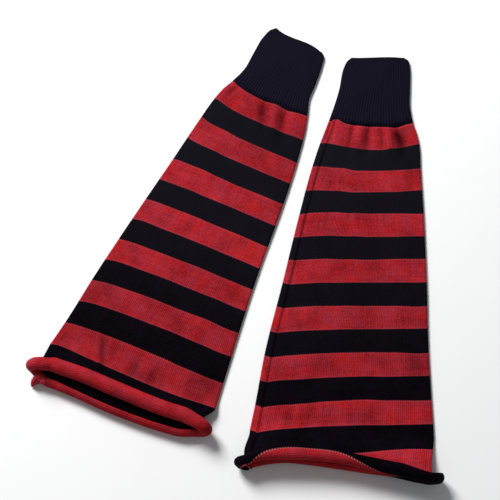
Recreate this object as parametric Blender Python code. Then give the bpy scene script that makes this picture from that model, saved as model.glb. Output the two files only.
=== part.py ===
"""A pair of striped leg warmers, each knitted as a flared tube and laid flat.

Each warmer has a ribbed cuff, a leg with a side seam, and a hem that curls outward into a roll.
All tables and sizes are in millimetres. In a warmer's own frame x runs across the leg, -y runs
down the leg from the cuff's top edge towards the hem, and the floor is at z = 0.
"""
import math
from collections import namedtuple

import bmesh
import bpy
import numpy as np

METRES = 0.001
COLLECTION = "leg_warmers"
BLACK = (0.009, 0.009, 0.014)
RED = (0.40, 0.018, 0.028)

# Knitting
CUFF_LENGTH = 80.0          # ribbed cuff, along the cloth
STRIPE = 25.0               # one band of colour
STRIPES = 16                # bands from the cuff to the raw edge
CLOTH_LENGTH = CUFF_LENGTH + STRIPES * STRIPE
WALL = 1.6                  # thickness of the knitted cloth
RIB_DEPTH = 0.5             # how far a rib stands out of the cuff
RIBS_ACROSS = 27            # ribs on the cuff's upper side
SEAM_GAP = 0.3              # parting between two pieces

# How it lies
FOLD_RADIUS = 1.4           # middle of the wall, where the tube folds at its two edges
FOLD_REACH = FOLD_RADIUS + WALL / 2
SEAM_GROOVE = 0.5           # depth of the line where the side seam is closed
SEAM_HALF_WIDTH = 1.5
FLUTE_DEEPEST = 0.3         # share of a hollow's length from the cuff to its deepest place
ROLL_PITCH = 2.2            # how much a turn of the curled hem winds inward
RISE_LENGTH = 38.0          # length over which the cloth climbs onto its own rolled hem
LAST_SECTION = 405.0        # cloth length at the last row of a section table
CORE = 0.25                 # share of a roll's cross section that its cloth leaves open
ROLL_CLEARANCE = 0.1        # the roll's lowest point above the floor

# Mesh fineness
FRONT_POINTS = 15
BACK_POINTS = 9
FOLD_ANGLES = (54.0, 18.0, -18.0, -54.0)
ROLL_STEPS = 20
TAIL_SIDES = 10
TAIL_RINGS = 8
SMOOTH_ANGLE = 35.0         # edges that bend more than this stay sharp
CUFF_ROWS = (0.0, 3.0, 9.0, 30.0, 58.0, CUFF_LENGTH)
LEG_ROWS = (80.0, 86.0, 93.0, 102.0, 114.0, 130.0, 155.0, 190.0, 230.0, 270.0, 310.0, 345.0,
            368.0, 388.0, 405.0)
HEM_SHARES = (0.3, 0.55, 0.77, 0.9, 1.0)

# A row of stitches: its distance down the cloth, its left edge, middle and right edge as they lie
Section = namedtuple("Section", "cloth left left_at middle_at right right_at")
# The hem where it starts to curl, at a place across: where each layer lies, how much cloth it has
# used up by then, and the radius of its roll
Hem = namedtuple("Hem", "across front_at front_cloth front_radius back_at back_cloth back_radius")
# How high the upper layer stands above its flat rest, at a distance down the cloth
Loft = namedtuple("Loft", "cloth height")
# A soft hollow running down from the cuff: where it is across, its depth, half width and length
Flute = namedtuple("Flute", "across depth half_width reach")
# The end of the seaming yarn: its root, its direction in plan, and its size
Tail = namedtuple("Tail", "x along heading length root_radius tip_radius")

Warmer = namedtuple(
    "Warmer",
    "name x y lean sections hem left_tip right_tip left_draw right_draw slip lofts flutes seam tail")

LOFTS = (
    Loft(0.0, 0.3), Loft(30.0, 0.8), Loft(80.0, 1.2), Loft(93.0, 2.4), Loft(125.0, 1.8),
    Loft(190.0, 1.0), Loft(300.0, 0.8), Loft(405.0, 1.0), Loft(480.0, 0.0),
)

RIGHT = Warmer(
    name="right", x=160.27, y=216.29, lean=1.5,
    sections=(
        Section(0.0, -30.7, 0.8, 1.3, 28.4, 2.4),
        Section(4.0, -35.2, 4.4, 4.9, 33.0, 5.3),
        Section(10.0, -38.3, 10.0, 10.3, 33.9, 10.2),
        Section(38.0, -45.3, 37.0, 38.0, 32.8, 38.0),
        Section(61.0, -52.2, 58.0, 61.0, 31.3, 59.0),
        Section(80.0, -58.5, 74.0, 80.0, 33.6, 76.5),
        Section(93.0, -63.8, 87.0, 93.0, 36.9, 89.0),
        Section(105.0, -68.8, 99.0, 105.5, 38.8, 101.5),
        Section(130.0, -78.4, 125.5, 130.5, 38.7, 128.0),
        Section(180.0, -94.3, 178.5, 180.0, 38.7, 180.0),
        Section(255.0, -114.8, 253.0, 255.0, 37.2, 255.0),
        Section(330.0, -136.3, 329.5, 330.0, 34.5, 330.0),
        Section(380.0, -147.2, 380.0, 380.0, 34.2, 380.0),
        Section(405.0, -153.3, 405.5, 405.5, 34.3, 405.5),
    ),
    hem=(
        Hem(-1.0, 439.0, 447.0, 5.7, 441.5, 447.0, 5.7),
        Hem(-0.85, 434.5, 438.0, 6.4, 438.0, 440.0, 6.4),
        Hem(-0.6, 433.5, 431.5, 6.7, 435.5, 432.0, 6.7),
        Hem(-0.3, 435.0, 431.5, 6.7, 438.5, 431.0, 6.7),
        Hem(0.0, 438.5, 432.5, 6.7, 443.0, 431.5, 6.7),
        Hem(0.3, 444.8, 439.0, 6.9, 448.0, 438.0, 6.7),
        Hem(0.6, 451.3, 448.0, 7.2, 452.4, 448.0, 6.8),
        Hem(0.85, 457.0, 454.5, 7.4, 458.0, 454.0, 7.0),
        Hem(1.0, 461.0, 457.0, 6.8, 461.0, 457.0, 6.8),
    ),
    left_tip=-160.0, right_tip=27.8, left_draw=(0.0, 0.6), right_draw=(0.2, 0.95), slip=0.0,
    lofts=LOFTS,
    flutes=(
        Flute(-0.92, 0.5, 0.06, 35.0), Flute(-0.46, 0.9, 0.09, 40.0), Flute(-0.13, 0.8, 0.08, 34.0),
        Flute(0.55, 1.2, 0.10, 46.0),
    ),
    seam=7.0,
    tail=Tail(-153.5, 447.2, 0.0, 2.6, 1.4, 1.0),
)

LEFT = Warmer(
    name="left", x=73.47, y=235.29, lean=-22.0,
    sections=(
        Section(0.0, -31.5, -4.0, 0.0, 27.8, 4.0),
        Section(4.0, -36.0, 0.0, 4.0, 31.4, 7.0),
        Section(10.0, -38.7, 6.4, 10.1, 32.6, 13.3),
        Section(38.0, -42.9, 33.0, 38.0, 34.5, 40.0),
        Section(61.0, -45.0, 54.0, 60.5, 34.9, 61.5),
        Section(80.0, -51.8, 72.0, 80.0, 39.9, 79.0),
        Section(93.0, -58.3, 85.0, 93.0, 43.3, 92.5),
        Section(105.0, -62.3, 98.0, 105.5, 45.5, 105.5),
        Section(130.0, -67.6, 124.0, 131.0, 48.8, 132.5),
        Section(180.0, -77.3, 180.0, 181.5, 52.6, 182.0),
        Section(255.0, -91.4, 258.5, 256.5, 55.7, 257.5),
        Section(330.0, -104.2, 336.0, 331.0, 61.2, 330.0),
        Section(380.0, -111.4, 388.0, 385.5, 66.2, 384.0),
        Section(405.0, -116.3, 415.0, 415.5, 69.0, 414.0),
    ),
    hem=(
        Hem(-1.0, 440.3, 434.0, 6.8, 447.1, 434.0, 6.8),
        Hem(-0.9, 436.4, 431.0, 7.5, 450.4, 432.5, 6.8),
        Hem(-0.75, 434.6, 428.0, 7.9, 450.6, 431.0, 6.7),
        Hem(-0.5, 433.3, 425.0, 8.0, 450.5, 430.0, 6.7),
        Hem(-0.1, 433.8, 424.5, 8.1, 451.8, 430.0, 6.7),
        Hem(0.3, 434.1, 424.5, 8.1, 451.2, 430.0, 6.7),
        Hem(0.6, 433.6, 424.5, 8.0, 449.5, 430.0, 6.7),
        Hem(0.85, 432.2, 427.0, 7.9, 446.2, 430.0, 6.8),
        Hem(1.0, 434.0, 430.0, 7.0, 440.6, 430.0, 7.0),
    ),
    left_tip=-115.8, right_tip=62.4, left_draw=(0.0, 0.55), right_draw=(0.0, 0.55), slip=7.0,
    lofts=LOFTS,
    flutes=(
        Flute(-0.9, 0.5, 0.07, 30.0), Flute(-0.30, 0.9, 0.09, 40.0), Flute(0.22, 0.7, 0.08, 34.0),
        Flute(0.45, 0.9, 0.08, 40.0),
    ),
    seam=-4.0,
    tail=Tail(-113.3, 458.4, 0.0, 5.2, 2.2, 1.0),
)


def ease(share):
    """Smooth step from 0 to 1."""
    share = np.clip(share, 0.0, 1.0)
    return share * share * (3.0 - 2.0 * share)


def ease_between(share, start, end):
    """Smooth step from 0 at start to 1 at end."""
    return ease((share - start) / (end - start))


def curve(rows, key, value, at):
    """Read a smooth curve through one column of a table at the given values of another."""
    knots = np.array([getattr(row, key) for row in rows])
    values = np.array([getattr(row, value) for row in rows])
    slopes = np.gradient(values, knots)
    at = np.clip(at, knots[0], knots[-1])
    index = np.clip(np.searchsorted(knots, at) - 1, 0, len(knots) - 2)
    span = knots[index + 1] - knots[index]
    part = (at - knots[index]) / span
    rise = values[index + 1] - values[index]
    bend_in = slopes[index] * span - rise
    bend_out = rise - slopes[index + 1] * span
    return values[index] + part * rise + part * (1 - part) * (bend_in * (1 - part) + bend_out * part)


def across_points(count):
    """Places across a layer from its left fold (-1) to its right fold (1)."""
    return np.linspace(-1.0, 1.0, count)


def plan(warmer, cloth, share, across, layer):
    """Where a stitch lies across and down the leg; share runs from the last section to the curl."""
    rows, hem = warmer.sections, warmer.hem
    left, right = curve(rows, "cloth", "left", cloth), curve(rows, "cloth", "right", cloth)
    left = left + (warmer.left_tip - left) * ease_between(share, *warmer.left_draw)
    right = right + (warmer.right_tip - right) * ease_between(share, *warmer.right_draw)
    middle = (left + right) / 2
    x = middle + across * ((right - left) / 2 - FOLD_REACH)
    middle_at = curve(rows, "cloth", "middle_at", cloth)
    side_at = np.where(across < 0, curve(rows, "cloth", "left_at", cloth),
                       curve(rows, "cloth", "right_at", cloth))
    along = middle_at + (side_at - middle_at) * np.abs(across) ** 3
    if layer == "back":
        along = along + warmer.slip * cloth / LAST_SECTION * (1 - across ** 4)
    hem_at = curve(hem, "across", layer + "_at", across)
    return x, along + (hem_at - along) * share


def climb(warmer, across, along, layer):
    """Height gained by a layer as it climbs onto the rolled hem."""
    hem = warmer.hem
    back_at = curve(hem, "across", "back_at", across)
    end_at = curve(hem, "across", layer + "_at", across)
    lift = 2 * curve(hem, "across", "back_radius", across) - ROLL_PITCH / 2 + ROLL_CLEARANCE
    start = back_at - RISE_LENGTH
    reached = lift * ease((end_at - start) / RISE_LENGTH)
    return reached * ease((along - start) / (end_at - start))


def fluting(warmer, cloth, across):
    """Depth of the soft hollows below the cuff."""
    depth = np.zeros_like(across)
    for flute in warmer.flutes:
        down = (cloth - CUFF_LENGTH) / flute.reach
        fade = ease_between(down, 0.0, FLUTE_DEEPEST) * (1 - ease_between(down, FLUTE_DEEPEST, 1.0))
        away = (across - flute.across) / flute.half_width
        depth = depth + flute.depth * fade * np.exp(-away ** 2)
    return depth


def layer_line(warmer, cloth, share, across, layer):
    """Points of one layer's middle surface on one row, and the way out of the wall at each."""
    x, along = plan(warmer, cloth, share, across, layer)
    z = WALL / 2 + climb(warmer, across, along, layer)
    out = np.zeros((len(across), 3))
    if layer == "front":
        loft = curve(warmer.lofts, "cloth", "height", cloth + share * (CLOTH_LENGTH - cloth))
        z = z + 2 * FOLD_RADIUS + loft * np.cos(across * math.pi / 2) ** 2
        z = z - fluting(warmer, cloth, across)
        slope = np.gradient(z, x)
        slope[[0, -1]] = 0.0
        out[:, 0], out[:, 2] = -slope, 1.0
        out /= np.linalg.norm(out, axis=1)[:, None]
    else:
        out[:, 2] = -1.0
    return np.stack([x, -along, z], axis=1), out


def ring(warmer, cloth, share, front, back):
    """One row of the tube all the way round: front, right fold, back, left fold."""
    front_points, front_out = layer_line(warmer, cloth, share, front, "front")
    back_points, back_out = layer_line(warmer, cloth, share, back[::-1], "back")
    folds = []
    edges = ((1, front_points[-1], back_points[0]), (-1, front_points[0], back_points[-1]))
    angles = np.radians(FOLD_ANGLES)
    for side, upper, lower in edges:
        out = np.stack([side * np.cos(angles), np.zeros_like(angles), np.sin(angles)], axis=1)
        bulge = out * np.array([FOLD_RADIUS, 0.0, 0.0])
        part = np.sin(angles)[:, None] * np.ones(3)
        part[:, 1] = angles / (math.pi / 2)
        folds.append(((upper + lower) / 2 + bulge + part * (upper - lower) / 2, out))
    (right, right_out), (left, left_out) = folds
    points = np.concatenate([front_points, right, back_points, left[::-1]])
    outward = np.concatenate([front_out, right_out, back_out, left_out[::-1]])
    return points, outward


def shift_rows(points, distance):
    """Move one row down the leg."""
    return points - np.array([0.0, distance, 0.0])


def add_mesh(name, vertices, faces, colour, parent):
    """Make a named object with its own material, under its warmer's empty."""
    mesh = bpy.data.meshes.new(name)
    mesh.from_pydata([tuple(v) for v in np.asarray(vertices) * METRES], [], faces)
    mesh.validate()
    mesh.shade_smooth()
    mesh.set_sharp_from_angle(angle=math.radians(SMOOTH_ANGLE))
    material = bpy.data.materials.new(name)
    material.use_nodes = True
    shader = material.node_tree.nodes["Principled BSDF"]
    shader.inputs["Base Color"].default_value = (*colour, 1.0)
    shader.inputs["Roughness"].default_value = 0.95
    shader.inputs["Metallic"].default_value = 0.0
    material.diffuse_color = (*colour, 1.0)
    mesh.materials.append(material)
    piece = bpy.data.objects.new(name, mesh)
    bpy.data.collections[COLLECTION].objects.link(piece)
    piece.parent = parent
    return piece


def wall_tube(name, outer, inner, colour, parent):
    """Close a wall between rows of outer and inner points, with a rim at each end."""
    rows, count = len(outer), len(outer[0])
    vertices = np.concatenate([np.concatenate(outer), np.concatenate(inner)])
    inside = rows * count
    faces = []
    for row in range(rows - 1):
        for i in range(count):
            j = (i + 1) % count
            a, b = row * count + i, row * count + j
            c, d = (row + 1) * count + j, (row + 1) * count + i
            faces.append((d, c, b, a))
            faces.append((inside + a, inside + b, inside + c, inside + d))
    last = (rows - 1) * count
    for i in range(count):
        j = (i + 1) % count
        faces.append((i, j, inside + j, inside + i))
        faces.append((inside + last + i, inside + last + j, last + i))
        faces.append((inside + last + j, last + j, last + i))
    return add_mesh(name, vertices, faces, colour, parent)


def make_cuff(warmer, parent):
    """Ribbed cuff: ribs raised on the outer points over a plain inside, plain where it rests."""
    front = across_points(2 * RIBS_ACROSS + 1)
    back = across_points(BACK_POINTS)
    raised = np.zeros(len(front) + len(back) + 2 * len(FOLD_ANGLES))
    raised[1:len(front):2] = RIB_DEPTH
    right_fold = len(front)
    raised[right_fold:right_fold + len(FOLD_ANGLES):2] = RIB_DEPTH
    raised[-len(FOLD_ANGLES) + 1::2] = RIB_DEPTH
    outer, inner = [], []
    for cloth in CUFF_ROWS:
        points, out = ring(warmer, cloth, 0.0, front, back)
        if cloth == CUFF_LENGTH:
            points = shift_rows(points, -SEAM_GAP / 2)
        outer.append(points + out * (WALL / 2 + raised)[:, None])
        inner.append(points - out * WALL / 2)
    return wall_tube(warmer.name + "_cuff", outer, inner, BLACK, parent)


def leg_places(warmer, cloth):
    """Places across both layers of the leg, and which point of the ring lies in the seam's groove.

    The seam runs a set way in from the left fold; a negative inset is on the under side.
    """
    rows = warmer.sections
    width = curve(rows, "cloth", "right", cloth) - curve(rows, "cloth", "left", cloth)
    half = width / 2 - FOLD_REACH
    middle = -1.0 + (abs(warmer.seam) - FOLD_REACH) / half
    seam = (middle - SEAM_HALF_WIDTH / half, middle, middle + SEAM_HALF_WIDTH / half)
    front, back = across_points(FRONT_POINTS), across_points(BACK_POINTS)
    if warmer.seam > 0:
        front = np.sort(np.concatenate([front, seam]))
        return front, back, int(np.argmin(np.abs(front - middle)))
    back = np.sort(np.concatenate([back, seam]))
    return front, back, len(front) + len(FOLD_ANGLES) + int(np.argmin(np.abs(back[::-1] - middle)))


def make_leg(warmer, parent):
    """Flared leg: one wall round the tube, folded at both edges, with the side seam's groove."""
    rows = [(cloth, 0.0) for cloth in LEG_ROWS] + [(LEG_ROWS[-1], share) for share in HEM_SHARES]
    outer, inner = [], []
    for cloth, share in rows:
        front, back, groove = leg_places(warmer, cloth)
        points, out = ring(warmer, cloth, share, front, back)
        if cloth == CUFF_LENGTH and share == 0.0:
            points = shift_rows(points, SEAM_GAP / 2)
        if share == 1.0:
            points = shift_rows(points, -SEAM_GAP)
        depth = np.full(len(points), WALL / 2)
        depth[groove] -= SEAM_GROOVE if cloth > CUFF_LENGTH and share < 1.0 else 0.0
        outer.append(points + out * depth[:, None])
        inner.append(points - out * WALL / 2)
    return wall_tube(warmer.name + "_leg", outer, inner, RED, parent)


def roll_turn(radius, length):
    """Angle turned when a spiral that starts at this radius has taken up a length of cloth."""
    tighten = ROLL_PITCH / (2 * math.pi)
    return (radius - math.sqrt(radius * radius - 2 * tighten * length)) / tighten


def make_hem_roll(warmer, parent):
    """Curled hem: the cloth turns outward and winds into a spiral, swept round the tube's mouth."""
    front, back, _ = leg_places(warmer, LEG_ROWS[-1])
    mouth, outward = ring(warmer, LEG_ROWS[-1], 1.0, front, back)
    folds = len(FOLD_ANGLES)
    places = [(t, "front") for t in front] + [(1.0, "front")] * folds
    places += [(t, "back") for t in back[::-1]] + [(-1.0, "front")] * folds
    towards_hem = np.array([0.0, -1.0, 0.0])
    tighten = ROLL_PITCH / (2 * math.pi)
    loops = []
    for start, out, (across, layer) in zip(mouth, outward, places):
        radius = float(curve(warmer.hem, "across", layer + "_radius", across))
        used = float(curve(warmer.hem, "across", layer + "_cloth", across))
        centre = start + out * radius
        first = SEAM_GAP / radius
        length = min(CLOTH_LENGTH - used, (1 - CORE) * math.pi * radius ** 2 / ROLL_PITCH)
        turn = np.linspace(first, roll_turn(radius, length), ROLL_STEPS + 1)
        spoke = -np.cos(turn)[:, None] * out + np.sin(turn)[:, None] * towards_hem
        reach = (radius - tighten * turn)[:, None]
        loops.append(np.concatenate([centre + spoke * (reach + WALL / 2),
                                     (centre + spoke * (reach - WALL / 2))[::-1]]))
    size = len(loops[0])
    faces = []
    for i in range(len(loops)):
        j = (i + 1) % len(loops)
        for k in range(size - 1):
            faces.append((j * size + k, j * size + k + 1, i * size + k + 1, i * size + k))
        end = size - 1
        faces.append((j * size + end, j * size, i * size + end))
        faces.append((j * size, i * size, i * size + end))
    return add_mesh(warmer.name + "_hem_roll", np.concatenate(loops), faces, RED, parent)


def make_seam_tail(warmer, parent):
    """Fastened-off end of the seaming yarn: a small ball drawn out to a blunt point on the floor."""
    tail = warmer.tail
    ball = bmesh.new()
    bmesh.ops.create_uvsphere(ball, u_segments=TAIL_SIDES, v_segments=TAIL_RINGS, radius=1.0)
    points = np.array([vertex.co for vertex in ball.verts])
    faces = [[vertex.index for vertex in face.verts] for face in ball.faces]
    ball.free()
    share = (1.0 - points[:, 2]) / 2
    girth = (tail.root_radius + (tail.tip_radius - tail.root_radius) * share)[:, None]
    heading = math.radians(tail.heading)
    onward = np.array([math.sin(heading), -math.cos(heading), 0.0])
    sideways = np.array([math.cos(heading), math.sin(heading), 0.0])
    root = np.array([tail.x, -tail.along, tail.root_radius])
    body = root + onward * tail.length * share[:, None] - sideways * points[:, :1] * girth
    body[:, 2] += points[:, 1] * girth[:, 0]
    return add_mesh(warmer.name + "_seam_tail", body, faces, RED, parent)


def make_warmer(warmer):
    """Place one warmer: an empty at the middle of its cuff's top edge carries its pieces."""
    empty = bpy.data.objects.new(warmer.name + "_warmer", None)
    bpy.data.collections[COLLECTION].objects.link(empty)
    empty.location = (warmer.x * METRES, warmer.y * METRES, 0.0)
    empty.rotation_euler = (0.0, 0.0, math.radians(warmer.lean))
    make_cuff(warmer, empty)
    make_leg(warmer, empty)
    make_hem_roll(warmer, empty)
    make_seam_tail(warmer, empty)


def main():
    for thing in list(bpy.data.objects):
        bpy.data.objects.remove(thing, do_unlink=True)
    collection = bpy.data.collections.new(COLLECTION)
    bpy.context.scene.collection.children.link(collection)
    for warmer in (LEFT, RIGHT):
        make_warmer(warmer)


main()
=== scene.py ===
"""Looks of a pair of striped leg warmers: ribbed cuffs, knitted legs, curled hems and seam yarn.

Tables and sizes are in millimetres, in each warmer's own frame, as in the part's source: x runs
across the leg, -y runs down the leg from the cuff's top edge, and the table is at z = 0.
"""
import math
from collections import namedtuple

import bpy
import numpy as np
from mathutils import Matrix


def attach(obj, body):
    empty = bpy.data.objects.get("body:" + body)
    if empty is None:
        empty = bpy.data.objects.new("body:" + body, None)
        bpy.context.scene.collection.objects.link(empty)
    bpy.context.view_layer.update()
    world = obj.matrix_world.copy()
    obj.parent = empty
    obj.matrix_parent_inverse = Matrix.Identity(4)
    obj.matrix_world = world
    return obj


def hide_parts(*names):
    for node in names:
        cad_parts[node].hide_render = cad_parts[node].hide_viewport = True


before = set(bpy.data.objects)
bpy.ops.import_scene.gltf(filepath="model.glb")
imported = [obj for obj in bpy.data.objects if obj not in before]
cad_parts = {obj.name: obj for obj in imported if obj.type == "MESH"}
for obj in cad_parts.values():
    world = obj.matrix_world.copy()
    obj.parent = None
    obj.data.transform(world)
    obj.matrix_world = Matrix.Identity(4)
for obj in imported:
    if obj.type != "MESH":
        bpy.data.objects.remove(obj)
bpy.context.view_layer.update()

METRES = 0.001

# Knitting
CUFF_LENGTH = 80.0          # ribbed cuff, along the cloth
STRIPE = 25.0               # one band of colour
STRIPES = 16                # bands from the cuff to the raw edge
CLOTH_LENGTH = CUFF_LENGTH + STRIPES * STRIPE
WALL = 1.6                  # thickness of the knitted cloth
RIB_DEPTH = 0.35            # how far a rib stands out of the cuff
RIB_TOP_SHARE = 0.3         # share of it at the cuff's top edge, where the ribs are pressed flat
RIB_RISE = (20.0, 70.0)     # cloth over which the ribs rise to their full depth
RIBS_ACROSS = 27            # ribs on each side of the cuff
WALES_ACROSS = 88           # columns of stitches on each side of the leg
FOLD_WALES = 2              # columns of stitches round each fold
ROWS_A_STRIPE = 16
STITCH_HEIGHT = STRIPE / ROWS_A_STRIPE
STITCH_RELIEF = 0.07        # how far a column of stitches stands out
COURSE_RELIEF = 0.05        # how far a row of loops stands out on the wrong side

# How it lies
FOLD_RADIUS = 1.4           # middle of the wall, where the tube folds at its two edges
FOLD_REACH = FOLD_RADIUS + WALL / 2
LAYER_GAP = 0.15            # least gap between the upper and the lower layer
LAYER_EASE = 0.2            # how softly a trough comes to rest on the lower layer
SWEEP_POWER = 3             # how late across a layer its rows leave the middle's line
SEAM_FADE_POWER = 8         # how close to the folds the seam's step fades
PULL_FADE_POWER = 16        # how close to the left fold the bends of rows fade
SEAM_GROOVE = 0.9           # depth of the line where the side seam is closed
SEAM_HALF_WIDTH = 1.8       # half width of that line
SEAM_SHADE = 0.38           # how dark painted shade makes its line
SEAM_STEP = 1.1             # how much higher the cloth lies between the seam and the fold
SEAM_STEP_SPAN = (-1.0, 1.5)    # distance from the seam over which it comes down
SEAM_REACH = 30.0           # how far rows bend towards the seam, on the leg's side of it
SEAM_SIDE_REACH = 9.0       # and on the fold's side
LAST_BLACK = 429.5          # end of the last black band before the hem
ROLL_PITCH = 2.2            # how much a turn of the curled hem winds inward
RISE_LENGTH = 38.0          # length over which the cloth climbs onto its own rolled hem
LAST_SECTION = 405.0        # cloth length at the last row of a section table
CORE = 0.25                 # share of a roll's cross section that its cloth leaves open
ROLL_CLEARANCE = 0.1        # the roll's lowest point above the table
PLIES = 3                   # strands wound round a seam end
PLY_TURNS = 1.5             # turns they make on its length
PLY_RELIEF = 0.1            # half the depth of the valleys between them, as a share of the radius
STRAND_END_POWER = 8        # how blunt the round ends of a strand are

# Mesh fineness
COLUMN = (0.0, 1.0, 1.0)                    # height of a column of stitches, from groove to groove
RIB = (0.0, 0.35, 0.85, 1.0, 0.85, 0.35)    # height of a rib, from valley to valley
ROW_STEP = 2.5                              # cloth between two rows of the leg's mesh
INNER_EVERY = 2                             # the inside has every second row
HEM_ROWS = 13                               # rows below the last section of the table
HEM_START = (0.97, 1.0)                     # share of the way to the curl, just before it and at it
CUFF_EDGE_ROWS = (0.0, 1.5, 4.0, 7.0)       # close rows at the cuff's round top edge
CUFF_FIRST_ROW = 10.0                       # the rows below them are even
CUFF_STEP = 4.0                             # with this much cloth between two of them
ROLL_ROWS_A_COURSE = 2                      # rows of the roll's mesh for each row of stitches
RIM_SWELL = 0.6                             # how far the cuff's top edge swells outward
ROLL_EVENING = 12                           # columns on each side that even out a roll's lean
FOLD_ZONE = (0.72, 0.96)                    # across, where the tube begins to turn at its edges
SEAM_END_MESH = (64, 36)                    # rows and sides of a gathered seam end
THREAD_MESH = (24, 10)                      # and of a loose thread
CUT_SAMPLES = 60                            # rows measured for the cut
HEM_SAMPLES = 41                            # places across measured for its end

# A row of stitches: its two ends across the leg, and how far down it lies there and in its middle
Section = namedtuple("Section", "cloth left left_at middle_at right right_at")
# The curl at one place across: how far down each layer curls, its cloth up to there, its radius
Hem = namedtuple("Hem", "across front_at front_cloth front_radius back_at back_cloth back_radius")
Loft = namedtuple("Loft", "cloth height")
# A soft trough, or a ridge where its depth is negative, down the cloth from one row to another; it
# may drift across on its way. In a table of painted shade its depth is how much the yarn is darkened,
# and a negative one lessens the painted shade of others where they overlap.
Crease = namedtuple("Crease", "across start deepest end depth half_width drift", defaults=(0.0,))
# How far down a row of stitches lies off its section's curve, at six places across the front
Row = namedtuple("Row", "cloth far_left left near_left near_right right far_right")
ROW_PLACES = (-0.9, -0.5, -0.15, 0.2, 0.55, 0.9)
# Rows of stitches drawn down the leg round one place
Pull = namedtuple("Pull", "across cloth distance half_width reach")
# How far rows of stitches dip where they meet the seam
Dip = namedtuple("Dip", "cloth distance")
# A place on a gathered seam end
Knot = namedtuple("Knot", "x along z radius")
# One warmer: where it lies, its outline, how its cloth lies, and the ends of its seaming yarn. Its
# seam's distance from the left fold is negative when the seam is on the underside; further left
# than covered, the cloth stays in the last black band.
Warmer = namedtuple(
    "Warmer",
    "name x y lean sections hem left_tip right_tip left_draw right_draw slip creases shades rows pulls "
    "seam dips covered roll_stretch gather threads")

# Height of the upper layer over the lower one, by length along the cloth
LOFTS = (
    Loft(0.0, 0.3), Loft(30.0, 0.8), Loft(80.0, 1.2), Loft(93.0, 2.4), Loft(125.0, 1.8),
    Loft(190.0, 1.0), Loft(300.0, 0.8), Loft(405.0, 1.0), Loft(480.0, 0.0),
)

# A slow wave in the upper layer: its height, how far it turns across the leg, its length down the
# leg and where in its turn it starts
Wave = namedtuple("Wave", "height across length start")
WAVES = (
    Wave(0.32, 2.2, 118.0, 0.4), Wave(0.22, -4.1, 71.0, 1.9), Wave(0.14, 6.3, 47.0, 4.2),
    Wave(0.08, -9.5, 29.0, 2.6),
)

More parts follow.
